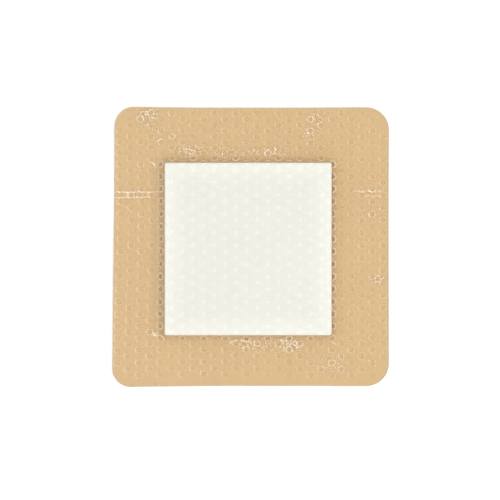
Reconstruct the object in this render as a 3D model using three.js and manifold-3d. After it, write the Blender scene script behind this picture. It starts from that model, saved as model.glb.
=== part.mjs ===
// Bordered silicone foam dressing, lying on its backing with the wound side up.
// A square foam pad lies on a skin-coloured backing film. One perforated, clear silicone
// contact layer is draped over both: it sticks to the film all round the pad and forms the
// adhesive border.
// Millimetres, +Z up. The origin is on the resting face, under the middle of the outline.
import * as THREE from "three";
import { mergeGeometries, mergeVertices } from "three/addons/utils/BufferGeometryUtils.js";
import Module from "manifold-3d";

// Outline, die-cut through the film and the contact layer together
const dressingWidth = 99.5;
const dressingLength = 101;
const cornerRadius = 8;
const cornerSteps = 8;

// Backing film
const filmThickness = 0.15;

// Foam pad, placed by hand a little off the middle
const padWidth = 60;
const padLength = 62;
const padThickness = 4;
const padCornerRadius = 0.8;
const padCornerSteps = 3;
const padEdgeRound = 0.4;
const padEdgeSteps = 2;
const padShiftX = -1;
const padShiftY = -0.8;

// Contact layer
const layerThickness = 0.4;
const padEdgeGap = 0.3; // from the pad's side to where the layer turns down
const skirtRun = 2; // from there to where the layer meets the film

// Perforations, in a triangular lattice with its columns along Y
const holePitch = 4.43;
const holeDiameter = 1.8;
const holeSides = 5;
const latticeShiftY = 0.6; // the sheet is cut wherever the lattice happens to lie
const holeEdgeWeb = 0.6; // least width of layer between a hole and the cut edge
const cupFloor = 0.05; // layer left under a hole that ends on the film

const padEase = Math.min(padEdgeRound, padCornerRadius / 2);
const filmTop = filmThickness;
const padTop = filmTop + padThickness;
const layerTop = padTop + layerThickness;
const borderTop = filmTop + layerThickness;
const holeRadius = holeDiameter / 2;

// The layer keeps its thickness where it bends, so its upper bends lie further out.
const skirtLength = Math.hypot(skirtRun, padThickness);
const bendOffset = (layerThickness * (skirtLength - skirtRun)) / padThickness;

// A rounded rectangle: size, corner radius and centre.
const outline = { width: dressingWidth, length: dressingLength, radius: cornerRadius, x: 0, y: 0 };
const padOutline = {
  width: padWidth,
  length: padLength,
  radius: padCornerRadius,
  x: padShiftX,
  y: padShiftY,
};

function grown({ width, length, radius, x, y }, by) {
  return { width: width + 2 * by, length: length + 2 * by, radius: radius + by, x, y };
}

function cornerCentres({ width, length, radius, x, y }) {
  const reachX = width / 2 - radius;
  const reachY = length / 2 - radius;
  return [
    [x + reachX, y + reachY],
    [x - reachX, y + reachY],
    [x - reachX, y - reachY],
    [x + reachX, y - reachY],
  ];
}

function shapeOf(rectangle) {
  const shape = new THREE.Shape();
  cornerCentres(rectangle).forEach(([x, y], quarter) => {
    const start = (quarter * Math.PI) / 2;
    shape.absarc(x, y, rectangle.radius, start, start + Math.PI / 2, false);
  });
  shape.closePath();
  return shape;
}

// The points of a rounded rectangle at one height, always equally many.
function ringAt(rectangle, z) {
  const points = [];
  cornerCentres(rectangle).forEach(([x, y], quarter) => {
    for (let step = 0; step <= cornerSteps; step++) {
      const angle = ((quarter + step / cornerSteps) * Math.PI) / 2;
      const reach = rectangle.radius;
      points.push([x + reach * Math.cos(angle), y + reach * Math.sin(angle), z]);
    }
  });
  return points;
}

// How far a point lies outside a rounded rectangle, below zero inside it.
function outsideBy(px, py, { width, length, radius, x, y }) {
  const dx = Math.abs(px - x) - width / 2 + radius;
  const dy = Math.abs(py - y) - length / 2 + radius;
  return Math.hypot(Math.max(dx, 0), Math.max(dy, 0)) + Math.min(Math.max(dx, dy), 0) - radius;
}

// A closed surface through a row of rings, with a flat cap on the first and the last ring.
function surfaceThrough(rings) {
  const count = rings[0].length;
  const positions = rings.flat(2);
  const faces = [];
  for (let ring = 0; ring < rings.length - 1; ring++) {
    for (let i = 0; i < count; i++) {
      const a = ring * count + i;
      const b = ring * count + ((i + 1) % count);
      faces.push(a, b, b + count, a, b + count, a + count);
    }
  }
  const last = (rings.length - 1) * count;
  for (let i = 1; i < count - 1; i++) {
    faces.push(0, i + 1, i);
    faces.push(last, last + i, last + i + 1);
  }
  const geometry = new THREE.BufferGeometry();
  geometry.setAttribute("position", new THREE.Float32BufferAttribute(positions, 3));
  geometry.setIndex(faces);
  return geometry;
}

const wasm = await Module();
wasm.setup();
const mergeDistance = 1e-4;

function solidFrom(geometry) {
  const bare = geometry.clone();
  bare.deleteAttribute("normal");
  bare.deleteAttribute("uv");
  const merged = mergeVertices(bare, mergeDistance);
  return new wasm.Manifold(
    new wasm.Mesh({
      numProp: 3,
      vertProperties: new Float32Array(merged.attributes.position.array),
      triVerts: new Uint32Array(merged.index.array),
    }),
  );
}

function geometryFrom(solid) {
  const mesh = solid.getMesh();
  const geometry = new THREE.BufferGeometry();
  geometry.setAttribute("position", new THREE.BufferAttribute(mesh.vertProperties, 3));
  geometry.setIndex(new THREE.BufferAttribute(mesh.triVerts, 1));
  geometry.computeVertexNormals();
  return geometry;
}

// Backing film: the plain die-cut sheet.
function filmGeometry() {
  return new THREE.ExtrudeGeometry(shapeOf(outline), {
    depth: filmThickness,
    bevelEnabled: false,
    curveSegments: cornerSteps,
  });
}

// Foam pad: a slab with softened edges.
function padGeometry() {
  const geometry = new THREE.ExtrudeGeometry(shapeOf({ ...padOutline, x: 0, y: 0 }), {
    depth: padThickness - 2 * padEase,
    bevelThickness: padEase,
    bevelSize: padEase,
    bevelOffset: -padEase,
    bevelSegments: padEdgeSteps,
    curveSegments: padCornerSteps,
  });
  return geometry.translate(0, 0, padEase);
}

// The contact layer before it is perforated: flat on the pad, sloping down round it, flat on
// the film out to the cut edge.
function drapedLayer() {
  const underBend = grown(padOutline, padEdgeGap);
  const underFoot = grown(underBend, skirtRun);
  return surfaceThrough([
    ringAt(underBend, padTop),
    ringAt(underFoot, filmTop),
    ringAt(outline, filmTop),
    ringAt(outline, borderTop),
    ringAt(grown(underFoot, bendOffset), borderTop),
    ringAt(grown(underBend, bendOffset), layerTop),
  ]);
}

// The middle of every perforation that lies whole within the cut edge.
function holeCentres() {
  const columnStep = (holePitch * Math.sqrt(3)) / 2;
  const columns = Math.ceil(dressingWidth / 2 / columnStep);
  const rows = Math.ceil(dressingLength / 2 / holePitch);
  const centres = [];
  for (let column = -columns; column < columns; column++) {
    const x = (column + 0.5) * columnStep;
    const stagger = column % 2 === 0 ? 0 : holePitch / 2;
    for (let row = -rows; row <= rows; row++) {
      const y = row * holePitch + stagger + latticeShiftY;
      if (outsideBy(x, y, outline) < -(holeRadius + holeEdgeWeb)) centres.push([x, y]);
    }
  }
  return centres;
}

// The material that one perforation takes away, wider end up.
function holeCutter(x, y, lowRadius, low, highRadius, high) {
  return new THREE.CylinderGeometry(highRadius, lowRadius, high - low, holeSides)
    .rotateX(Math.PI / 2)
    .translate(x, y, (low + high) / 2);
}

// Over the pad and its skirt a hole goes right through. In the border the film closes it, and
// the gel that has run into it leaves a shallow cup.
function perforations() {
  const foot = grown(padOutline, padEdgeGap + skirtRun + bendOffset);
  const cupDepth = layerThickness - cupFloor;
  const cutters = holeCentres().map(([x, y]) =>
    outsideBy(x, y, foot) > holeRadius
      ? holeCutter(x, y, 0, filmTop + cupFloor, 2 * holeRadius, borderTop + cupDepth)
      : holeCutter(x, y, holeRadius, 0, holeRadius, layerTop + layerThickness),
  );
  return mergeGeometries(cutters);
}

function layerGeometry() {
  return geometryFrom(solidFrom(drapedLayer()).subtract(solidFrom(perforations())));
}

const filmMaterial = new THREE.MeshStandardMaterial({
  color: 0xddbd90,
  roughness: 0.45,
  metalness: 0,
});
const foamMaterial = new THREE.MeshStandardMaterial({
  color: 0xf2f1e8,
  roughness: 0.95,
  metalness: 0,
});
const siliconeMaterial = new THREE.MeshStandardMaterial({
  color: 0xf3e7d4,
  roughness: 0.2,
  metalness: 0,
  transparent: true,
  opacity: 0.35,
});

function piece(name, geometry, material) {
  const mesh = new THREE.Mesh(geometry, material);
  mesh.name = name;
  return mesh;
}

const dressing = new THREE.Group();
const backingFilm = piece("backing_film", filmGeometry(), filmMaterial);
const foamPad = piece("foam_pad", padGeometry(), foamMaterial);
foamPad.position.set(padShiftX, padShiftY, filmTop);
const contactLayer = piece("contact_layer", layerGeometry(), siliconeMaterial);
dressing.add(backingFilm, foamPad, contactLayer);

export default dressing;
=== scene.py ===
import math

import bmesh
import bpy
import numpy as np
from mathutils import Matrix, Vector


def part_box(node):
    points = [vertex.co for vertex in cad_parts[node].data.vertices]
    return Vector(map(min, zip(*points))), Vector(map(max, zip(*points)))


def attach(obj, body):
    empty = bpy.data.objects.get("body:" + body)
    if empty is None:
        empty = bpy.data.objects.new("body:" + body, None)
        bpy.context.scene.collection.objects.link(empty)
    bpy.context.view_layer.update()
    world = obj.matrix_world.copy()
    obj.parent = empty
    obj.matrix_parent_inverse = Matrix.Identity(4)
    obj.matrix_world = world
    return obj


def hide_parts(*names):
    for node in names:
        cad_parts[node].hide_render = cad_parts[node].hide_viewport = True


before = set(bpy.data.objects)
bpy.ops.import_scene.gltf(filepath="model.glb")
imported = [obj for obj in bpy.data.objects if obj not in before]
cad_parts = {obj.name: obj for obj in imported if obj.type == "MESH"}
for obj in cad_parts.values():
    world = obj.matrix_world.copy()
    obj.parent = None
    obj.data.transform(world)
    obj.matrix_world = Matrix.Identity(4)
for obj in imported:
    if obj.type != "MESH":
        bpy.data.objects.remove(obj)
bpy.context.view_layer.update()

mm = 0.001
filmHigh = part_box("backing_film")[1]
padLow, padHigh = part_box("foam_pad")
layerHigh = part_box("contact_layer")[1]

# Where things are on the table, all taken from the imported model
halfWidth = filmHigh.x
halfLength = filmHigh.y
filmTop = filmHigh.z
padMiddle = (padLow + padHigh) / 2
padHalf = (padHigh - padLow) / 2
layerThickness = layerHigh.z - padHigh.z


# Small helpers

def smooth(t):
    t = np.clip(t, 0.0, 1.0)
    return t * t * (3 - 2 * t)


# Smooth random hills about as wide as size, from -1 to 1
def ripple(x, y, size, seed, waves=7):
    draw = np.random.default_rng(seed)
    total = np.zeros_like(x)
    for _ in range(waves):
        angle = draw.uniform(0, 2 * math.pi)
        pace = 2 * math.pi / (size * draw.uniform(0.7, 1.5))
        phase = draw.uniform(0, 2 * math.pi)
        total += np.sin(pace * (x * math.cos(angle) + y * math.sin(angle)) + phase)
    return total / math.sqrt(waves * 2)


def addObject(name, mesh):
    piece = bpy.data.objects.new(name, mesh)
    bpy.context.scene.collection.objects.link(piece)
    return piece


def pointsOf(mesh):
    flat = np.zeros(len(mesh.vertices) * 3)
    mesh.vertices.foreach_get("co", flat)
    return flat.reshape(-1, 3)


def setPoints(mesh, points):
    mesh.vertices.foreach_set("co", points.ravel())
    mesh.update()


def setMask(mesh, name, values):
    mask = mesh.attributes.get(name) or mesh.attributes.new(name, "FLOAT", "POINT")
    mask.data.foreach_set("value", np.asarray(values, np.float32))


def shadeSmooth(mesh, sharpDegrees):
    mesh.shade_smooth()
    mesh.set_sharp_from_angle(angle=math.radians(sharpDegrees))


# The die-cut outline. The cut is a rounded rectangle whose sides have drawn in a little
outline = {
    "cornerRadii": {(1, 1): 8.3 * mm, (-1, 1): 7.2 * mm, (-1, -1): 7.0 * mm, (1, -1): 8.3 * mm},
    "cornerCuts": 14,
    "highlightMargin": 0.9 * mm,       # painted highlight: the film is painted paler this close to the cut, as light caught by the cut edge
    "leftSlant": 0.0101,          # the left side leans out towards the bottom
    "leftDraw": 0.13 * mm,        # and draws in at its middle
    "rightBow": 0.15 * mm,
    "topRise": (0.46 * mm, 0.2 * mm),       # at the left and right end of the top side
    "bottomRise": (0.6 * mm, 0.1 * mm),
    "sideDrop": 0.24 * mm,        # how far the top and bottom sides draw in at their middle
}


# Places and outward directions of the short cuts that round one corner
def cornerPlanes(side, inset):
    full = outline["cornerRadii"][side]
    centre = Vector((side[0] * (halfWidth - full), side[1] * (halfLength - full), 0))
    radius = full - inset
    start = {(1, 1): 0.0, (-1, 1): 0.5, (-1, -1): 1.0, (1, -1): 1.5}[side] * math.pi
    cuts = outline["cornerCuts"]
    for cut in range(cuts):
        angle = start + (cut + 0.5) / cuts * math.pi / 2
        out = Vector((math.cos(angle), math.sin(angle), 0))
        yield centre + out * radius * math.cos(math.pi / 4 / cuts), out


def cutAlong(bm, geometry, place, direction, clear=True):
    done = bmesh.ops.bisect_plane(bm, geom=geometry, dist=1e-8, plane_co=place,
                                  plane_no=direction, clear_outer=clear)
    return [g for g in done["geom"] if g.is_valid]


# The faces whose points all pass inside(), with their edges and points
def partNear(bm, inside):
    faces = [f for f in bm.faces if all(inside(v.co) for v in f.verts)]
    edges = {e for f in faces for e in f.edges}
    verts = {v for f in faces for v in f.verts}
    return list(verts) + list(edges) + faces


# Cuts the sheet to the outline, or only scores it along the outline's inset copy
def clipToOutline(bm, reach, inset=0.0):
    clear = inset == 0
    for direction in (Vector((1, 0, 0)), Vector((-1, 0, 0)), Vector((0, 1, 0)), Vector((0, -1, 0))):
        place = Vector((direction.x * (halfWidth - inset), direction.y * (halfLength - inset), 0))
        cutAlong(bm, bm.verts[:] + bm.edges[:] + bm.faces[:], place, direction, clear)
    for side, radius in outline["cornerRadii"].items():
        nearX = halfWidth - radius - reach
        nearY = halfLength - radius - reach
        part = partNear(bm, lambda p: p.x * side[0] > nearX and p.y * side[1] > nearY)
        for place, out in cornerPlanes(side, inset):
            part = cutAlong(bm, part, place, out, clear)


# Plan distance inside the cut edge
def fromCut(x, y):
    radius = np.zeros_like(x)
    for (sideX, sideY), value in outline["cornerRadii"].items():
        radius = np.where((x * sideX >= 0) & (y * sideY >= 0), value, radius)
    dx, dy = np.abs(x) - halfWidth + radius, np.abs(y) - halfLength + radius
    outside = np.hypot(np.maximum(dx, 0), np.maximum(dy, 0)) + np.minimum(np.maximum(dx, dy), 0)
    return radius - outside


# Joins the upper and the lower open edge by a wall of thin triangles
def closeRim(bm, middleHeight):
    open_ = [v for v in bm.verts if v.is_boundary]
    def around(upper):
        chosen = [v for v in open_ if (v.co.z > middleHeight) == upper]
        chosen.sort(key=lambda v: math.atan2(v.co.y, v.co.x))
        return chosen
    upper, lower = around(True), around(False)
    def turn(loop, i):
        v = loop[i % len(loop)].co
        return math.atan2(v.y, v.x) + 2 * math.pi * (i // len(loop))
    i = j = 0
    while i < len(upper) or j < len(lower):
        u, w = upper[i % len(upper)], lower[j % len(lower)]
        if j >= len(lower) or (i < len(upper) and turn(upper, i + 1) < turn(lower, j + 1)):
            i += 1
            bm.faces.new((w, upper[i % len(upper)], u))
        else:
            j += 1
            bm.faces.new((w, lower[j % len(lower)], u))


# Moves plan points so that the straight sides get the real ones' slight bows
def drawnIn(x, y):
    u, v = x / halfWidth, y / halfLength
    left = (outline["leftSlant"] * y + outline["leftDraw"] * np.cos(np.clip(v * 1.5, -1.5, 1.5))) \
        * (u < 0) * np.abs(u) ** 3
    right = outline["rightBow"] * v * v * (u > 0) * np.abs(u) ** 3
    endRise = lambda pair: np.where(u < 0, pair[0], pair[1]) * np.abs(u) ** 2.2
    top = (endRise(outline["topRise"]) - outline["sideDrop"]) * (v > 0) * np.abs(v) ** 3
    bottom = (endRise(outline["bottomRise"]) - outline["sideDrop"]) * (v < 0) * np.abs(v) ** 3
    return x + left + right, y + top - bottom


# How the sheets lie. The film is flat under the pad and lifts a little towards its cut edge.
# The contact layer lies on it, rises up the pad's sides as a tent and lies flat on the pad
lie = {
    "edgeLift": 0.28 * mm,
    "liftReach": 13 * mm,
    "liftSize": 34 * mm,
    "clearance": 0.012 * mm,      # between the layer and what it lies on
    "tentRuns": {"right": 2.7 * mm, "left": 3.0 * mm, "top": 2.5 * mm, "bottom": 2.5 * mm},
    "tentHug": 1.9,               # 1 for a straight slope, more to hug the pad and sweep out
    "tentWander": 0.22 * mm,
    "tentShadeBySide": {"right": 1.25, "left": 0.9, "ends": 0.64},     # how strong the tent's painted shade is, by side
    "padCrown": 0.22 * mm,
    "padEdgeDrop": 0.34 * mm,
    "padEdgeReach": 1.5 * mm,
    "padUneven": 0.035 * mm,
}


# Plan distance outside the pad's edge, and which side is nearest as weights
def sideDistances(x, y):
    dx, dy = x - padMiddle.x, y - padMiddle.y
    overX, overY = np.abs(dx) - padHalf.x, np.abs(dy) - padHalf.y
    away = np.hypot(np.maximum(overX, 0), np.maximum(overY, 0)) + np.minimum(np.maximum(overX, overY), 0)
    turn = smooth((overX - overY) / (3 * mm) + 0.5)
    runs = lie["tentRuns"]
    sideRun = np.where(dx > 0, runs["right"], runs["left"])
    endRun = np.where(dy > 0, runs["top"], runs["bottom"])
    return away, turn * sideRun + (1 - turn) * endRun


# Height of the film's underside: zero but for the slight lift of its edge
def filmLift(x, y):
    toEdge = np.minimum(halfWidth - np.abs(x), halfLength - np.abs(y))
    rise = smooth(1 - toEdge / lie["liftReach"]) ** 1.5
    return lie["edgeLift"] * rise * (0.5 + 0.5 * np.clip(ripple(x, y, lie["liftSize"], 3), -1, 1))


# Height of the foam's upper face: slightly crowned, with soft edges
def padTopHeight(x, y):
    u = np.clip(np.abs(x - padMiddle.x) / padHalf.x, 0, 1)
    v = np.clip(np.abs(y - padMiddle.y) / padHalf.y, 0, 1)
    crown = lie["padCrown"] * (1 - u ** 4) * (1 - v ** 4)
    away, _ = sideDistances(x, y)
    turned = np.clip(1 + away / lie["padEdgeReach"], 0, 1)
    drop = lie["padEdgeDrop"] * (1 - np.sqrt(np.clip(1 - turned ** 2, 0, 1)))
    uneven = lie["padUneven"] * ripple(x, y, 9 * mm, 5) * (1 - u ** 8) * (1 - v ** 8)
    return padHigh.z + crown - drop + uneven


# Height of the contact layer's underside, and how much of a tent it is there
def layerBase(x, y):
    away, run = sideDistances(x, y)
    run = run + lie["tentWander"] * ripple(x, y, 11 * mm, 8)
    top = padTopHeight(x, y)
    foot = filmTop + filmLift(x, y)
    t = np.clip((away + 0.1 * mm) / run, 0, 1)
    down = 1 - (1 - t) ** lie["tentHug"]
    tent = smooth(t * 12) * (1 - t) ** 1.3
    return top + (foot - top) * down + lie["clearance"], tent


# Wrinkles and dents that the contact layer has taken: long creases, and patches of fine wrinkles
creases = [
    # start, end, height and width, in millimetres; the pair across the sheet is the liner's mark
    ((-53.0, 19.7), (-31.5, 19.9), 0.10, 0.30),
    ((-52.0, 17.8), (-35.5, 18.0), 0.12, 0.26),
    ((36.0, 20.1), (49.0, 20.2), 0.08, 0.34),
    ((38.0, 18.3), (49.0, 18.4), 0.07, 0.30),
    ((-8.2, -34.9), (-4.4, -33.3), 0.13, 0.40),
    ((-4.4, -33.3), (0.6, -34.9), 0.13, 0.40),
    ((9.9, -33.2), (13.6, -34.4), 0.12, 0.40),
    ((13.6, -34.4), (17.4, -36.6), 0.10, 0.40),
    ((-36.3, 30.9), (-33.7, 28.6), 0.12, 0.30),
    ((-35.9, -30.7), (-33.5, -32.6), 0.12, 0.40),
    ((28.6, -33.9), (31.2, -35.7), 0.10, 0.30),
]
glints = [
    # middle, half widths and strength, in millimetres: where fine wrinkles catch the light, and where the gel
    # gets a painted highlight
    ((-37.5, 47.8), (4.6, 3.0), 1.0),
    ((-36.5, 44.5), (3.0, 2.0), 0.55),
    ((-36.0, 42.4), (1.6, 1.4), 0.8),
    ((-32.4, 41.9), (1.6, 1.4), 0.6),
    ((-28.4, 39.9), (1.4, 1.2), 0.9),
    ((-33.5, 39.0), (2.4, 1.6), 0.5),
    ((-21.5, 34.8), (8.0, 2.6), 0.85),
    ((-9.0, 34.2), (6.5, 2.6), 0.8),
    ((7.0, 34.4), (10.0, 2.4), 0.75),
    ((24.0, 47.0), (4.0, 3.6), 0.75),
    ((21.5, 40.5), (4.2, 4.5), 0.5),
    ((29.5, -43.0), (6.5, 5.5), 0.4),
    ((-42.0, 18.9), (7.0, 1.7), 0.55),
    ((43.0, 20.0), (6.0, 0.7), 0.55),
    ((-35.2, 30.0), (1.6, 1.6), 0.4),
    ((-39.4, 29.4), (1.6, 1.2), 0.5),
    ((3.0, -35.2), (9.0, 3.2), 0.8),
    ((14.0, -35.4), (6.5, 3.4), 0.9),
    ((-22.0, -34.8), (3.4, 2.0), 0.35),
    ((-35.0, -31.3), (2.2, 1.4), 0.6),
    ((45.8, -11.6), (3.4, 2.0), 1.0),
    ((-33.5, -50.0), (3.0, 1.0), 0.5),
    ((44.5, -42.0), (3.4, 3.0), 0.3),
    ((44.0, 12.0), (5.0, 4.0), 0.25),
]


# Share of the way along a crease, and the distance from it
def offCrease(x, y, start, end):
    a, b = np.array(start) * mm, np.array(end) * mm
    along = b - a
    reach = np.clip(((x - a[0]) * along[0] + (y - a[1]) * along[1]) / (along @ along), 0, 1)
    return reach, np.hypot(x - a[0] - reach * along[0], y - a[1] - reach * along[1])


# Ridge height, crease glint mask and glint mask of the layer at plan points; both masks place painted
# highlights
def creaseShape(x, y):
    height, creaseGlint, mask = np.zeros_like(x), np.zeros_like(x), np.zeros_like(x)
    for start, end, rise, wide in creases:
        reach, off = offCrease(x, y, start, end)
        off = off / (wide * mm)
        fade = smooth(np.minimum(reach, 1 - reach) * 5)
        height += rise * mm * np.exp(-off * off) * fade
        creaseGlint = np.maximum(creaseGlint, np.exp(-off * off) * fade * rise / 0.14)
    for (cx, cy), (wx, wy), strength in glints:
        off = np.hypot((x / mm - cx) / wx, (y / mm - cy) / wy)
        mask = np.maximum(mask, strength * smooth(1.25 - off))
    return height, np.clip(creaseGlint, 0, 1), mask


# Gives the sheet edges along every crease, so that it can fold there
def cutCreases(bm):
    for start, end, _, wide in creases:
        a, b = Vector((*start, 0)) * mm, Vector((*end, 0)) * mm
        across = Vector((a.y - b.y, b.x - a.x, 0)).normalized()
        along = (b - a).normalized()
        middle, reach = (a + b) / 2, (b - a).length / 2 + 1 * mm
        part = partNear(bm, lambda p: abs((p - middle).dot(along)) < reach
                        and abs((p - middle).dot(across)) < 3 * mm)
        for share in (-1.6, -0.8, 0.0, 0.8, 1.6):
            part = cutAlong(bm, part, middle + across * share * wide * mm, across, clear=False)


# Node tools

def node(tree, kind, label="", **settings):
    made = tree.nodes.new(kind)
    made.label = label
    for name, value in settings.items():
        setattr(made, name, value)
    return made


def join(tree, source, target):
    tree.links.new(source, target)


def mathNode(tree, operation, first, second=None):
    made = node(tree, "ShaderNodeMath", operation=operation)
    for socket, value in zip(made.inputs, (first, second)):
        if isinstance(value, (int, float)):
            socket.default_value = value
        elif value is not None:
            join(tree, value, socket)
    return made.outputs[0]


# The perforated lattice, as flat cells laid side by side by geometry nodes
perforation = {
    "pitch": 4.43 * mm,
    "columns": 28,
    "rows": 27,
    "shiftY": 0.6 * mm,
    "endDrop": 0.75 * mm,         # the rows near the top and the bottom lie this much lower
    "dropStart": 30 * mm,
    "sides": 18,
    "rimHeight": 0.17 * mm,
    "rimRadius": 1.1 * mm,
    "holeRadius": 0.76 * mm,
    "edgeWeb": 0.55 * mm,
    "seed": 4,
}


# How far the lattice is pulled from its regular places, in millimetres
pulled = {
    "heights": (-50.5, -44, -39, -35, -31, -18, 0, 17, 28, 34, 40, 44, 48, 50.5),
    "upward": (-0.15, -0.2, -0.05, -0.1, -0.4, -0.42, -0.02, 0.36, 0.4, 0.0, -0.5, -0.75, -0.9, -0.9),
    "lowerRight": -0.5,
    "places": (-50, -34, -31, -19, 0, 19, 30, 34, 50),
    "rightward": (0.0, 0.0, 0.2, 0.23, 0.33, 0.43, 0.4, -0.2, -0.3),
    "leftBulge": 0.8,
}


def pullLattice(points):
    p = pulled
    x, y = points[:, 0] / mm, points[:, 1] / mm
    bulge = p["leftBulge"] * smooth((-30.5 - x) / 4) * np.exp(-((y - 6) / 26) ** 2)
    corner = p["lowerRight"] * smooth(x / 30) * smooth((-36 - y) / 6)
    points[:, 0] += (np.interp(x, p["places"], p["rightward"]) + bulge) * mm
    points[:, 1] += (np.interp(y, p["heights"], p["upward"]) + corner) * mm


# The point of a hexagon with corners on the X axis, seen from its middle at that angle
def hexagonPoint(angle, flatToFlat):
    side = math.floor(angle / (math.pi / 3)) * math.pi / 3
    corner = flatToFlat / math.sqrt(3)
    a = Vector((math.cos(side), math.sin(side), 0)) * corner
    b = Vector((math.cos(side + math.pi / 3), math.sin(side + math.pi / 3), 0)) * corner
    return a.lerp(b, (angle - side) / (math.pi / 3))


# One lattice cell of the sheet, at its true thickness: flat, then the rim, then the hole.
# Each loop has a radius (none for the cell's edge), a height, and its rim and lip masks
def cellMesh(name, holed):
    p = perforation
    sides = p["sides"]
    rim, hole, tall = p["rimRadius"], p["holeRadius"], p["rimHeight"]
    t = layerThickness
    loops = [(None, t, 0, 0), (rim + 0.42 * mm, t + 0.04 * tall, 0.1, 0),
             (rim + 0.2 * mm, t + 0.52 * tall, 0.8, 0),
             (rim, t + tall, 1, 0.3), (rim - 0.14 * mm, t + 0.78 * tall, 0.6, 1),
             (hole + 0.08 * mm, t + 0.25 * tall, 0.2, 1), (hole, t - 0.1 * mm, 0, 0.3),
             (hole, 0, 0, 0), (None, 0, 0, 0)]
    if not holed:
        loops = [(None, t, 0, 0), (rim + 0.46 * mm, t, 0, 0), (hole / 2, t, 0, 0)]
        loops += [(hole / 2, 0, 0, 0), (None, 0, 0, 0)]
    bm = bmesh.new()
    layers = [bm.verts.layers.float.new(mask) for mask in ("rim", "lip")]
    rings = []
    for radius, height, *masks in loops:
        ring = []
        for k in range(sides):
            angle = 2 * math.pi * k / sides
            place = hexagonPoint(angle, p["pitch"]) if radius is None else \
                Vector((math.cos(angle), math.sin(angle), 0)) * radius
            made = bm.verts.new((place.x, place.y, height))
            for maskLayer, value in zip(layers, masks):
                made[maskLayer] = value
            ring.append(made)
        rings.append(ring)
    breaks = set() if holed else {2}     # a blank cell has its two skins apart
    for step, (outer, inner) in enumerate(zip(rings, rings[1:])):
        if step in breaks:
            bm.faces.new(outer)
            bm.faces.new(list(reversed(inner)))
            continue
        for k in range(sides):
            n = (k + 1) % sides
            bm.faces.new((outer[k], outer[n], inner[n], inner[k]))
    mesh = bpy.data.meshes.new(name)
    bm.to_mesh(mesh)
    bm.free()
    return mesh


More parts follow.
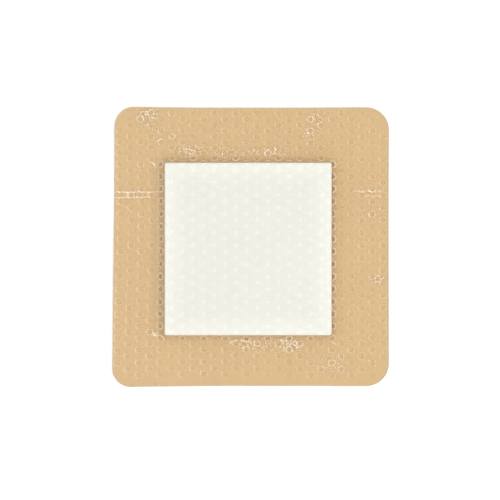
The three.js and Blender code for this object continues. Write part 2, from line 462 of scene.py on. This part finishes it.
# Lays open cells within the cut edge and blank ones along it
def latticeTree():
    tree = bpy.data.node_groups.new("perforatedLattice", "GeometryNodeTree")
    wanted = [("Open Cell", "NodeSocketGeometry"), ("Blank Cell", "NodeSocketObject"),
              ("Pitch", "NodeSocketFloat"), ("Columns", "NodeSocketInt"), ("Rows", "NodeSocketInt"),
              ("Shift Y", "NodeSocketFloat"), ("End Drop", "NodeSocketFloat"),
              ("Drop Start", "NodeSocketFloat"), ("Half Width", "NodeSocketFloat"),
              ("Half Length", "NodeSocketFloat"), ("Corner Radius", "NodeSocketFloat"),
              ("Edge Margin", "NodeSocketFloat"), ("Seed", "NodeSocketInt"),
              ("Material", "NodeSocketMaterial")]
    for name, kind in wanted:
        tree.interface.new_socket(name, in_out="INPUT", socket_type=kind)
    tree.interface.new_socket("Sheet", in_out="OUTPUT", socket_type="NodeSocketGeometry")
    start = node(tree, "NodeGroupInput")
    given = start.outputs
    step = mathNode(tree, "MULTIPLY", given["Pitch"], math.sqrt(3) / 2)

    grid = node(tree, "GeometryNodeMeshGrid", "one point for each cell")
    for count, size, pace in (("Columns", "Size X", step), ("Rows", "Size Y", given["Pitch"])):
        spans = mathNode(tree, "SUBTRACT", given[count], 1)
        join(tree, mathNode(tree, "MULTIPLY", spans, pace), grid.inputs[size])
        join(tree, given[count], grid.inputs["Vertices X" if count == "Columns" else "Vertices Y"])

    here = node(tree, "GeometryNodeInputPosition").outputs[0]
    split = node(tree, "ShaderNodeSeparateXYZ")
    join(tree, here, split.inputs[0])
    column = mathNode(tree, "FLOOR", mathNode(tree, "DIVIDE", split.outputs["X"], step))
    odd = mathNode(tree, "FLOORED_MODULO", column, 2)
    stagger = mathNode(tree, "MULTIPLY", odd, mathNode(tree, "MULTIPLY", given["Pitch"], 0.5))
    offset = node(tree, "ShaderNodeCombineXYZ")
    join(tree, mathNode(tree, "ADD", stagger, given["Shift Y"]), offset.inputs["Y"])
    placed = node(tree, "GeometryNodeSetPosition")
    join(tree, grid.outputs["Mesh"], placed.inputs["Geometry"])
    join(tree, offset.outputs[0], placed.inputs["Offset"])
    points = node(tree, "GeometryNodeMeshToPoints")
    join(tree, placed.outputs[0], points.inputs["Mesh"])

    # How far each cell's middle lies outside the rounded cut, below zero inside it
    size = node(tree, "ShaderNodeCombineXYZ")
    for axis, half in (("X", "Half Width"), ("Y", "Half Length")):
        join(tree, mathNode(tree, "SUBTRACT", given[half], given["Corner Radius"]), size.inputs[axis])
    middle = node(tree, "ShaderNodeSeparateXYZ", "where the drop will bring a cell")
    join(tree, node(tree, "GeometryNodeInputPosition").outputs[0], middle.inputs[0])
    drop = node(tree, "ShaderNodeMapRange", interpolation_type="SMOOTHSTEP")
    join(tree, mathNode(tree, "ABSOLUTE", middle.outputs["Y"]), drop.inputs["Value"])
    for name, source in (("From Min", "Drop Start"), ("From Max", "Half Length"), ("To Max", "End Drop")):
        join(tree, given[source], drop.inputs[name])
    drop.inputs["To Min"].default_value = 0
    dropped = node(tree, "ShaderNodeCombineXYZ")
    join(tree, middle.outputs["X"], dropped.inputs["X"])
    join(tree, mathNode(tree, "SUBTRACT", middle.outputs["Y"], drop.outputs[0]), dropped.inputs["Y"])
    absolute = node(tree, "ShaderNodeVectorMath", operation="ABSOLUTE")
    join(tree, dropped.outputs[0], absolute.inputs[0])
    over = node(tree, "ShaderNodeVectorMath", operation="SUBTRACT")
    join(tree, absolute.outputs[0], over.inputs[0])
    join(tree, size.outputs[0], over.inputs[1])
    beyond = node(tree, "ShaderNodeVectorMath", operation="MAXIMUM")
    join(tree, over.outputs[0], beyond.inputs[0])
    far = node(tree, "ShaderNodeVectorMath", operation="LENGTH")
    join(tree, beyond.outputs[0], far.inputs[0])
    overSplit = node(tree, "ShaderNodeSeparateXYZ")
    join(tree, over.outputs[0], overSplit.inputs[0])
    within = mathNode(tree, "MAXIMUM", overSplit.outputs["X"], overSplit.outputs["Y"])
    within = mathNode(tree, "MINIMUM", within, 0.0)
    away = mathNode(tree, "ADD", far.outputs["Value"], within)
    away = mathNode(tree, "SUBTRACT", away, given["Corner Radius"])

    isOpen = mathNode(tree, "LESS_THAN", away, mathNode(tree, "MULTIPLY", given["Edge Margin"], -1))
    isNear = mathNode(tree, "LESS_THAN", away, given["Pitch"])
    isBlank = mathNode(tree, "MULTIPLY", isNear, mathNode(tree, "SUBTRACT", 1, isOpen))

    blank = node(tree, "GeometryNodeObjectInfo")
    join(tree, given["Blank Cell"], blank.inputs["Object"])
    gather = node(tree, "GeometryNodeJoinGeometry")
    for chosen, cell in ((isOpen, given["Open Cell"]), (isBlank, blank.outputs["Geometry"])):
        lay = node(tree, "GeometryNodeInstanceOnPoints")
        join(tree, points.outputs[0], lay.inputs["Points"])
        join(tree, chosen, lay.inputs["Selection"])
        join(tree, cell, lay.inputs["Instance"])
        join(tree, lay.outputs[0], gather.inputs[0])

    tone = node(tree, "FunctionNodeRandomValue", data_type="FLOAT")
    join(tree, given["Seed"], tone.inputs["Seed"])
    keep = node(tree, "GeometryNodeStoreNamedAttribute", "a tone for each hole",
                data_type="FLOAT", domain="INSTANCE")
    keep.inputs["Name"].default_value = "tone"
    toneOut = next(o for o in tone.outputs if o.enabled)
    join(tree, gather.outputs[0], keep.inputs["Geometry"])
    join(tree, toneOut, keep.inputs["Value"])
    realize = node(tree, "GeometryNodeRealizeInstances")
    join(tree, keep.outputs[0], realize.inputs[0])
    weld = node(tree, "GeometryNodeMergeByDistance")
    weld.inputs["Distance"].default_value = 0.002 * mm
    join(tree, realize.outputs[0], weld.inputs["Geometry"])
    dress = node(tree, "GeometryNodeSetMaterial")
    join(tree, weld.outputs[0], dress.inputs["Geometry"])
    join(tree, given["Material"], dress.inputs["Material"])
    end = node(tree, "NodeGroupOutput")
    join(tree, dress.outputs[0], end.inputs[0])
    return tree


# The flat perforated sheet as one plain mesh
def latticeMesh(material):
    p = perforation
    source = addObject("latticeSource", cellMesh("openCell", True))
    blank = addObject("blankCell", cellMesh("blankCell", False))
    modifier = source.modifiers.new("lattice", "NODES")
    modifier.node_group = latticeTree()
    values = {
        "Blank Cell": blank, "Pitch": p["pitch"], "Columns": p["columns"], "Rows": p["rows"],
        "Shift Y": p["shiftY"], "End Drop": p["endDrop"], "Drop Start": p["dropStart"],
        "Half Width": halfWidth, "Half Length": halfLength,
        "Corner Radius": 8 * mm, "Edge Margin": p["rimRadius"] + p["edgeWeb"], "Seed": p["seed"],
        "Material": material,
    }
    for item in modifier.node_group.interface.items_tree:
        if item.in_out == "INPUT" and item.name in values:
            modifier[item.identifier] = values[item.name]
    ready = source.evaluated_get(bpy.context.evaluated_depsgraph_get())
    mesh = bpy.data.meshes.new_from_object(ready)
    points = pointsOf(mesh)
    pullLattice(points)
    setPoints(mesh, points)
    source.modifiers.clear()
    for spare in (source, blank):
        bpy.data.objects.remove(spare)
    return mesh


def makeContactLayer(material):
    mesh = latticeMesh(material)
    bm = bmesh.new()
    bm.from_mesh(mesh)
    clipToOutline(bm, 2 * perforation["pitch"])

    # Edges along the tent's bends and the long creases, so that the sheet folds there
    runs = lie["tentRuns"]
    for axis, sign, side in ((0, 1, "right"), (0, -1, "left"), (1, 1, "top"), (1, -1, "bottom")):
        edge = padMiddle[axis] + sign * padHalf[axis]
        other = 1 - axis
        span = padHalf[other] + runs[side] + 1 * mm
        part = partNear(bm, lambda p: abs(p[axis] - edge) < 7 * mm
                        and abs(p[other] - padMiddle[other]) < span + 4 * mm)
        for share in (-0.2, 0.0, 0.1, 0.25, 0.45, 0.7, 1.0):
            place, direction = Vector((0, 0, 0)), Vector((0, 0, 0))
            place[axis] = edge + sign * (share * runs[side] - 0.1 * mm)
            direction[axis] = 1
            part = cutAlong(bm, part, place, direction, clear=False)
    cutCreases(bm)
    closeRim(bm, layerThickness / 2)
    bmesh.ops.triangulate(bm, faces=[f for f in bm.faces if len(f.verts) > 4])
    print("contact layer: open edges", sum(e.is_boundary or not e.is_manifold for e in bm.edges))
    bm.to_mesh(mesh)
    bm.free()

    points = pointsOf(mesh)
    x, y, tall = points.T
    rise, creaseGlint, glint = creaseShape(x, y)
    step = 0.05 * mm
    base, tent = layerBase(x, y)
    slopeX = (layerBase(x + step, y)[0] - layerBase(x - step, y)[0]) / (2 * step)
    slopeY = (layerBase(x, y + step)[0] - layerBase(x, y - step)[0]) / (2 * step)
    normal = np.stack([-slopeX, -slopeY, np.ones_like(x)], axis=1)
    normal /= np.linalg.norm(normal, axis=1)[:, None]
    upper = smooth(tall / layerThickness)
    plain = ripple(x, y, 3.2 * mm, 21) * 0.012 * mm * upper
    tone = np.zeros(len(mesh.vertices))
    mesh.attributes["tone"].data.foreach_get("value", tone)
    away, _ = sideDistances(x, y)
    onPad = smooth(0.5 - away / (1 * mm))
    ring = np.maximum(tall - layerThickness, 0) * (tone * 0.7 - 0.35 - 0.6 * onPad)
    lifted = tall + ring + (rise + plain) * upper
    px, py = drawnIn(x + normal[:, 0] * lifted, y + normal[:, 1] * lifted)
    setPoints(mesh, np.stack([px, py, base + normal[:, 2] * lifted], axis=1))
    # The tent mask, scaled by side, sets how much the tent is painted as thicker gel and painted shade
    across = np.abs(x - padMiddle[0]) / padHalf[0] > np.abs(y - padMiddle[1]) / padHalf[1]
    tones = lie["tentShadeBySide"]
    beside = np.where(x > 0, tones["right"], tones["left"])
    setMask(mesh, "tent", tent * np.where(across, beside, tones["ends"]))
    # Masks of the painted highlights in the glint patches and along the creases
    setMask(mesh, "glint", glint)
    setMask(mesh, "creaseGlint", creaseGlint)
    setMask(mesh, "overPad", onPad)
    shadeSmooth(mesh, 55)
    return addObject("contactLayer", mesh)


# A flat two-skinned grid, larger than the cut, to be clipped to it
def gridSheet(name, cells, thickness):
    bm = bmesh.new()
    reach = max(halfWidth, halfLength) + 2 * mm
    for height, flip in ((thickness, False), (0.0, True)):
        made = bmesh.ops.create_grid(bm, x_segments=cells, y_segments=cells, size=reach)
        for v in made["verts"]:
            v.co.z = height
        if flip:
            bmesh.ops.reverse_faces(bm, faces=list({f for v in made["verts"] for f in v.link_faces}))
    clipToOutline(bm, 3 * reach / cells)
    clipToOutline(bm, 3 * reach / cells, outline["highlightMargin"])
    closeRim(bm, thickness / 2)
    bmesh.ops.triangulate(bm, faces=[f for f in bm.faces if len(f.verts) > 4])
    print(name, "open edges", sum(e.is_boundary or not e.is_manifold for e in bm.edges))
    mesh = bpy.data.meshes.new(name)
    bm.to_mesh(mesh)
    bm.free()
    return mesh


def makeFilm(material):
    mesh = gridSheet("backingFilm", 120, filmTop)
    x, y, tall = pointsOf(mesh).T
    px, py = drawnIn(x, y)
    setPoints(mesh, np.stack([px, py, tall + filmLift(x, y)], axis=1))
    # Mask of the painted highlight along the cut edge
    setMask(mesh, "cutEdgeHighlight", np.clip(1 - fromCut(x, y) / outline["highlightMargin"], 0, 1))
    mesh.materials.append(material)
    shadeSmooth(mesh, 40)
    return addObject("backingFilm", mesh)


# The foam pad: a die-cut slab, slightly crowned, with open cells on its cut sides
foam = {
    "across": 96,
    "along": 100,
    "layers": 9,
    "cornerRadius": 0.7 * mm,
    "sideRough": 0.09 * mm,
    "sidePull": 0.25 * mm,        # how far each side draws in between its corners
    "rimReach": 9 * mm,           # width of the whiter margin along the sides: a painted highlight
}


# A closed block of grid faces whose points are then moved to the foam's real surface
def makePad(material):
    f = foam
    counts = (f["across"], f["along"], f["layers"])
    bm = bmesh.new()
    seen = {}

    def corner(i, j, k):
        if (i, j, k) not in seen:
            seen[i, j, k] = bm.verts.new((i / counts[0] * 2 - 1, j / counts[1] * 2 - 1, k / counts[2]))
        return seen[i, j, k]

    for axis in range(3):
        a, b = [n for n in range(3) if n != axis]
        for end in (0, counts[axis]):
            for i in range(counts[a]):
                for j in range(counts[b]):
                    ring = []
                    for di, dj in ((0, 0), (1, 0), (1, 1), (0, 1)):
                        place = [0, 0, 0]
                        place[axis], place[a], place[b] = end, i + di, j + dj
                        ring.append(corner(*place))
                    bm.faces.new(ring)
    bmesh.ops.recalc_face_normals(bm, faces=bm.faces[:])
    mesh = bpy.data.meshes.new("foamPad")
    bm.to_mesh(mesh)
    bm.free()

    u, v, w = pointsOf(mesh).T
    x, y = u * padHalf.x, v * padHalf.y
    # Round the upright corners
    r = f["cornerRadius"]
    cx, cy = np.abs(x) - (padHalf.x - r), np.abs(y) - (padHalf.y - r)
    inCorner = (cx > 0) & (cy > 0)
    far = np.hypot(cx, cy)
    shrink = np.where(inCorner & (far > r), r / np.maximum(far, 1e-9), 1.0)
    x = np.where(inCorner, np.sign(x) * (padHalf.x - r + cx * shrink), x)
    y = np.where(inCorner, np.sign(y) * (padHalf.y - r + cy * shrink), y)
    # Draw the sides in a little, roughen them, and set the heights
    atSide = (np.abs(u) > 0.999) | (np.abs(v) > 0.999)
    upright = np.sin(math.pi * np.clip(w, 0, 1))
    pull = f["sidePull"] * upright * atSide
    rough = f["sideRough"] * atSide * upright ** 0.5
    around = np.arctan2(y, x) * 30 * mm
    bite = rough * ripple(around, w * 4 * mm, 0.9 * mm, 12, 9)
    x = x - np.sign(x) * (np.abs(u) > 0.999) * (pull * (1 - v ** 2) + np.abs(bite))
    y = y - np.sign(y) * (np.abs(v) > 0.999) * (pull * (1 - u ** 2) + np.abs(bite))
    worldX, worldY = x + padMiddle.x, y + padMiddle.y
    top = padTopHeight(worldX, worldY)
    setPoints(mesh, np.stack([worldX, worldY, filmTop + w * (top - filmTop)], axis=1))
    inside = np.minimum(padHalf.x - np.abs(x), padHalf.y - np.abs(y))
    # Mask of the painted highlight along the pad's sides
    setMask(mesh, "rimHighlight", smooth(1 - inside / foam["rimReach"]))
    mesh.materials.append(material)
    shadeSmooth(mesh, 50)
    return addObject("foamPad", mesh)


# Finishes

# Fine uneven tone: large soft clouds and small grain, as one value about 0.5
def speckleGroup():
    tree = bpy.data.node_groups.new("unevenTone", "ShaderNodeTree")
    for name, value in (("Cloud Scale", 60.0), ("Grain Scale", 2500.0), ("Grain Share", 0.4)):
        tree.interface.new_socket(name, in_out="INPUT", socket_type="NodeSocketFloat").default_value = value
    tree.interface.new_socket("Tone", in_out="OUTPUT", socket_type="NodeSocketFloat")
    start, end = node(tree, "NodeGroupInput"), node(tree, "NodeGroupOutput")
    place = node(tree, "ShaderNodeTexCoord").outputs["Object"]
    found = []
    for name, detail in (("Cloud Scale", 3.0), ("Grain Scale", 2.0)):
        noise = node(tree, "ShaderNodeTexNoise")
        join(tree, place, noise.inputs["Vector"])
        join(tree, start.outputs[name], noise.inputs["Scale"])
        noise.inputs["Detail"].default_value = detail
        found.append(noise.outputs["Fac"])
    mix = node(tree, "ShaderNodeMix", data_type="FLOAT")
    join(tree, start.outputs["Grain Share"], mix.inputs["Factor"])
    join(tree, found[0], mix.inputs["A"])
    join(tree, found[1], mix.inputs["B"])
    join(tree, mix.outputs["Result"], end.inputs[0])
    return tree


def newMaterial(name):
    material = bpy.data.materials.new(name)
    material.use_nodes = True
    tree = material.node_tree
    surface = next(n for n in tree.nodes if n.type == "BSDF_PRINCIPLED")
    return material, tree, surface


def unevenTone(tree, group, clouds, grain, share):
    made = node(tree, "ShaderNodeGroup")
    made.node_tree = group
    made.inputs["Cloud Scale"].default_value = clouds
    made.inputs["Grain Scale"].default_value = grain
    made.inputs["Grain Share"].default_value = share
    return made.outputs["Tone"]


def mixColour(tree, factor, first, second):
    mix = node(tree, "ShaderNodeMix", data_type="RGBA")
    sockets = [s for s in mix.inputs if s.type == "RGBA"]
    if isinstance(factor, (int, float)):
        mix.inputs["Factor"].default_value = factor
    else:
        join(tree, factor, mix.inputs["Factor"])
    for socket, colour in zip(sockets, (first, second)):
        if isinstance(colour, tuple):
            socket.default_value = (*colour, 1)
        else:
            join(tree, colour, socket)
    return next(s for s in mix.outputs if s.type == "RGBA")


def ranged(tree, value, low, high, toLow, toHigh):
    made = node(tree, "ShaderNodeMapRange")
    join(tree, value, made.inputs["Value"])
    for name, number in (("From Min", low), ("From Max", high), ("To Min", toLow), ("To Max", toHigh)):
        made.inputs[name].default_value = number
    return made.outputs[0]


def bumped(tree, surface, height, distance, strength=1.0):
    bump = node(tree, "ShaderNodeBump")
    bump.inputs["Distance"].default_value = distance
    bump.inputs["Strength"].default_value = strength
    join(tree, height, bump.inputs["Height"])
    join(tree, bump.outputs["Normal"], surface.inputs["Normal"])
    return bump


def maskOf(tree, name):
    return node(tree, "ShaderNodeAttribute", attribute_name=name).outputs["Fac"]


filmFinish = {
    "colour": (0.668, 0.477, 0.229),
    "paler": (0.708, 0.510, 0.251),
    "cutHighlightColour": (0.740, 0.620, 0.420),
    "roughness": 0.48,
}


def filmMaterial(tones):
    material, tree, surface = newMaterial("filmSkinTone")
    tone = unevenTone(tree, tones, 45, 2600, 0.35)
    colour = mixColour(tree, ranged(tree, tone, 0.35, 0.65, 0, 1), filmFinish["colour"], filmFinish["paler"])
    # Painted highlight: the film is painted paler towards its cut edge, standing in for light caught by the
    # edge
    pale = mathNode(tree, "POWER", maskOf(tree, "cutEdgeHighlight"), 1.6)
    join(tree, mixColour(tree, pale, colour, filmFinish["cutHighlightColour"]), surface.inputs["Base Color"])
    join(tree, ranged(tree, tone, 0.3, 0.7, filmFinish["roughness"] - 0.06, filmFinish["roughness"] + 0.08),
         surface.inputs["Roughness"])
    weave = node(tree, "ShaderNodeTexNoise")
    join(tree, node(tree, "ShaderNodeTexCoord").outputs["Object"], weave.inputs["Vector"])
    weave.inputs["Scale"].default_value = 3200
    bumped(tree, surface, weave.outputs["Fac"], 0.02 * mm, 0.6)
    return material


foamFinish = {
    "colour": (0.875, 0.875, 0.80),
    "paler": (0.925, 0.92, 0.85),
    "edgeHighlight": 1.08,
    "cell": 0.33 * mm,
}


def foamMaterial(tones):
    material, tree, surface = newMaterial("openCellFoam")
    tone = unevenTone(tree, tones, 90, 3000, 0.5)
    cells = node(tree, "ShaderNodeTexVoronoi", feature="F1")
    join(tree, node(tree, "ShaderNodeTexCoord").outputs["Object"], cells.inputs["Vector"])
    cells.inputs["Scale"].default_value = 1 / foamFinish["cell"]
    pits = ranged(tree, cells.outputs["Distance"], 0.05, 0.6, 0, 1)
    mixed = mathNode(tree, "ADD", mathNode(tree, "MULTIPLY", pits, 0.35),
                     mathNode(tree, "MULTIPLY", tone, 0.65))
    colour = mixColour(tree, ranged(tree, mixed, 0.3, 0.75, 0, 1), foamFinish["colour"], foamFinish["paler"])
    # Painted highlight: the foam is painted whiter towards the pad's sides
    whiten = node(tree, "ShaderNodeVectorMath", operation="SCALE")
    join(tree, colour, whiten.inputs[0])
    join(tree, ranged(tree, maskOf(tree, "rimHighlight"), 0, 1, 1, foamFinish["edgeHighlight"]), whiten.inputs["Scale"])
    join(tree, whiten.outputs[0], surface.inputs["Base Color"])
    join(tree, ranged(tree, tone, 0.3, 0.7, 0.82, 0.95), surface.inputs["Roughness"])
    bumped(tree, surface, pits, 0.05 * mm, 0.7)
    return material


gelFinish = {
    "overFilm": (1.0, 0.75, 0.425),
    "overPad": (0.94, 0.94, 0.89),
    "tentGelAndShade": (0.64, 0.47, 0.33),
    "paintedGlint": (1.0, 0.84, 0.64),
    "filmAlpha": 0.22,
    "padAlpha": 0.14,
    "rimAlpha": 0.13,
    # painted shade in the troughs between the fine wrinkles
    "wrinkleShadeColour": (0.56, 0.38, 0.20),
    "wrinkleShadeAlpha": 0.05,
    "tentAlpha": 0.22,
    "tentRimHighlight": 0.34,
    "glintAlpha": 0.95,
    "roughness": 0.3,
    "glintRoughness": 0.14,
    "coat": 0.8,
    "coatRoughness": 0.2,
    "wrinkleScale": 1300,
    "wrinkleDepth": 0.22 * mm,
}


def gelMaterial(tones):
    material, tree, surface = newMaterial("clearSilicone")
    g = gelFinish
    names = ("rim", "lip", "tent", "glint", "creaseGlint", "overPad", "tone")
    rim, lip, tent, glint, creaseGlint, onPad, hole = (maskOf(tree, name) for name in names)
    place = node(tree, "ShaderNodeTexCoord").outputs["Object"]
    tone = unevenTone(tree, tones, 140, 1400, 0.5)

    # Fine wrinkles, which only show inside the glint patches
    wrinkle = node(tree, "ShaderNodeTexNoise")
    join(tree, place, wrinkle.inputs["Vector"])
    wrinkle.inputs["Scale"].default_value = g["wrinkleScale"]
    wrinkle.inputs["Detail"].default_value = 3
    wrinkle.inputs["Distortion"].default_value = 0.3
    flecks = ranged(tree, wrinkle.outputs["Fac"], 0.52, 0.64, 0, 1)
    ridgeGlint = mathNode(tree, "MULTIPLY", creaseGlint, ranged(tree, wrinkle.outputs["Fac"], 0.35, 0.6, 0.3, 1))
    flare = mathNode(tree, "ADD", mathNode(tree, "MULTIPLY", rim, 0.35), mathNode(tree, "MULTIPLY", lip, 0.5))
    flare = mathNode(tree, "MULTIPLY", flare, ranged(tree, hole, 0.25, 0.75, 0.15, 1.5))
    flare = mathNode(tree, "ADD", flare, flecks)
    # Painted shade: the troughs between the wrinkles in the glint patches are painted darker
    pits = mathNode(tree, "MULTIPLY", ranged(tree, wrinkle.outputs["Fac"], 0.46, 0.36, 0, 1), glint)
    # Painted highlight: glint patches, creases and hole lips get a pale colour and much more alpha
    caught = mathNode(tree, "ADD", mathNode(tree, "MULTIPLY", flare, glint), ridgeGlint)
    caught = mathNode(tree, "MINIMUM", caught, 1.0)

    veil = mixColour(tree, onPad, g["overFilm"], g["overPad"])
    # Over the tent the gel is painted darker: partly the thicker gel seen on the slope, partly painted shade
    # of the gap under it
    veil = mixColour(tree, tent, veil, g["tentGelAndShade"])
    veil = mixColour(tree, pits, veil, g["wrinkleShadeColour"])
    # Painted highlight: hole rims on the tent's slope are painted pale and given more alpha
    steep = mathNode(tree, "MINIMUM", mathNode(tree, "MULTIPLY", tent, 3), 1)
    bright = mathNode(tree, "MULTIPLY", mathNode(tree, "MULTIPLY", rim, steep), 0.85)
    bright = mathNode(tree, "ADD", caught, bright)
    bright = mathNode(tree, "MINIMUM", bright, 1.0)
    join(tree, mixColour(tree, bright, veil, g["paintedGlint"]), surface.inputs["Base Color"])
    ringed = mathNode(tree, "MULTIPLY", rim, ranged(tree, hole, 0, 1, 0.6, 1.4))
    ringed = mathNode(tree, "MULTIPLY", ringed, mathNode(tree, "SUBTRACT", 1, onPad))
    thin = mathNode(tree, "MULTIPLY", mathNode(tree, "ADD", lip, mathNode(tree, "MULTIPLY", rim, 0.4)), onPad)
    onFoam = ranged(tree, thin, 0, 1, g["padAlpha"], 0.02)
    flat = node(tree, "ShaderNodeMix", data_type="FLOAT")
    join(tree, onPad, flat.inputs["Factor"])
    flat.inputs["A"].default_value = g["filmAlpha"]
    join(tree, onFoam, flat.inputs["B"])
    edged = mathNode(tree, "ADD", mathNode(tree, "MULTIPLY", steep, g["tentRimHighlight"]), g["rimAlpha"])
    alpha = mathNode(tree, "ADD", mathNode(tree, "MULTIPLY", ringed, edged), flat.outputs["Result"])
    alpha = mathNode(tree, "ADD", alpha, mathNode(tree, "MULTIPLY", tent, g["tentAlpha"]))
    alpha = mathNode(tree, "ADD", alpha, mathNode(tree, "MULTIPLY", pits, g["wrinkleShadeAlpha"]))
    alpha = mathNode(tree, "ADD", alpha, mathNode(tree, "MULTIPLY", caught, g["glintAlpha"]))
    join(tree, mathNode(tree, "MINIMUM", alpha, 0.92), surface.inputs["Alpha"])
    rough = node(tree, "ShaderNodeMix", data_type="FLOAT")
    join(tree, glint, rough.inputs["Factor"])
    join(tree, ranged(tree, tone, 0.3, 0.7, g["roughness"] - 0.05, g["roughness"] + 0.08), rough.inputs["A"])
    rough.inputs["B"].default_value = g["glintRoughness"]
    join(tree, rough.outputs["Result"], surface.inputs["Roughness"])
    surface.inputs["IOR"].default_value = 1.45
    surface.inputs["Coat Weight"].default_value = g["coat"]
    surface.inputs["Coat Roughness"].default_value = g["coatRoughness"]

    height = mathNode(tree, "ADD", mathNode(tree, "MULTIPLY", wrinkle.outputs["Fac"], glint),
                      mathNode(tree, "MULTIPLY", tone, 0.12))
    bumped(tree, surface, height, g["wrinkleDepth"], 1.0)
    return material


# The table, light and camera

studio = {
    "scale": 2.765,               # pixels of the picture for each millimetre on the table
    "pictureSide": 500,
    "outlineCentre": (250.9, 246.8),      # where the outline's middle lies in the picture
    "cameraHeight": 0.7,
    "glintPlace": (-0.45, -0.08, 0.70),
    "glintSize": (1.1, 0.28),
    "glintPower": 8.0,
    "fillPlace": (0.62, -0.22, 0.74),
    "fillSize": (0.6, 0.6),
    "fillPower": 2.1,
    "worldLight": 0.855,
    "tableWhite": 0.86,
    "tableGlow": 0.28,
}


def aimed(obj, target):
    obj.rotation_euler = (Vector(target) - obj.location).to_track_quat("-Z", "Y").to_euler()


def areaLight(name, place, size, power):
    light = bpy.data.lights.new(name, "AREA")
    light.shape = "RECTANGLE"
    light.size, light.size_y = size
    light.energy = power
    lamp = bpy.data.objects.new(name, light)
    lamp.location = place
    bpy.context.scene.collection.objects.link(lamp)
    aimed(lamp, (0, 0, 0))
    return lamp


# 1 for rays that should see the plain white surroundings
def seenDirectly(tree):
    path = node(tree, "ShaderNodeLightPath")
    mirrored = mathNode(tree, "MAXIMUM", path.outputs["Is Glossy Ray"], path.outputs["Is Transmission Ray"])
    return mathNode(tree, "MAXIMUM", path.outputs["Is Camera Ray"], mirrored)


def makeTable():
    bm = bmesh.new()
    bmesh.ops.create_grid(bm, x_segments=1, y_segments=1, size=3.0)
    mesh = bpy.data.meshes.new("table")
    bm.to_mesh(mesh)
    bm.free()
    table = addObject("table", mesh)
    table.location.z = -0.02 * mm
    material = bpy.data.materials.new("tableWhite")
    material.use_nodes = True
    tree = material.node_tree
    tree.nodes.clear()
    white = studio["tableWhite"]
    plain = node(tree, "ShaderNodeBsdfDiffuse")
    plain.inputs["Color"].default_value = (white, white, white, 1)
    glow = node(tree, "ShaderNodeEmission")
    join(tree, mathNode(tree, "MULTIPLY", seenDirectly(tree), studio["tableGlow"]), glow.inputs["Strength"])
    both = node(tree, "ShaderNodeAddShader")
    join(tree, plain.outputs[0], both.inputs[0])
    join(tree, glow.outputs[0], both.inputs[1])
    join(tree, both.outputs[0], node(tree, "ShaderNodeOutputMaterial").inputs["Surface"])
    mesh.materials.append(material)


def makeWorld():
    world = bpy.data.worlds.new("studio")
    bpy.context.scene.world = world
    world.use_nodes = True
    tree = world.node_tree
    sky = next(n for n in tree.nodes if n.type == "BACKGROUND")
    sky.inputs["Color"].default_value = (1, 1, 1, 1)
    path = node(tree, "ShaderNodeLightPath")
    extra = mathNode(tree, "MULTIPLY", path.outputs["Is Camera Ray"], 1 - studio["worldLight"])
    join(tree, mathNode(tree, "ADD", extra, studio["worldLight"]), sky.inputs["Strength"])


def makeCamera():
    s = studio
    centreX = (s["pictureSide"] / 2 - s["outlineCentre"][0]) / s["scale"] * mm
    centreY = (s["outlineCentre"][1] - s["pictureSide"] / 2) / s["scale"] * mm
    data = bpy.data.cameras.new("camera")
    data.sensor_width = 36
    seen = s["pictureSide"] / s["scale"] * mm
    data.lens = data.sensor_width * s["cameraHeight"] / seen
    data.clip_start = 0.01
    camera = bpy.data.objects.new("camera", data)
    camera.location = (centreX, centreY, s["cameraHeight"] + filmTop)
    bpy.context.scene.collection.objects.link(camera)
    bpy.context.scene.camera = camera


makeCamera()
makeWorld()
makeTable()
glintCard = areaLight("glintCard", studio["glintPlace"], studio["glintSize"], studio["glintPower"])
glintCard.visible_diffuse = False        # it only shows in the gel's shine
fillSoftbox = areaLight("fillSoftbox", studio["fillPlace"], studio["fillSize"], studio["fillPower"])
fillSoftbox.visible_glossy = False       # it only lights, with no shine of its own
bpy.context.scene.view_settings.view_transform = "Standard"
print("stage, light and camera made")

tones = speckleGroup()
film = makeFilm(filmMaterial(tones))
print("backing film made")
pad = makePad(foamMaterial(tones))
print("foam pad made")
layer = makeContactLayer(gelMaterial(tones))
print("contact layer made")

for piece, nodeName, slotName in ((film, "backing_film", "film"), (pad, "foam_pad", "foam"),
                                  (layer, "contact_layer", "silicone")):
    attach(piece, "root")
    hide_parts(nodeName)
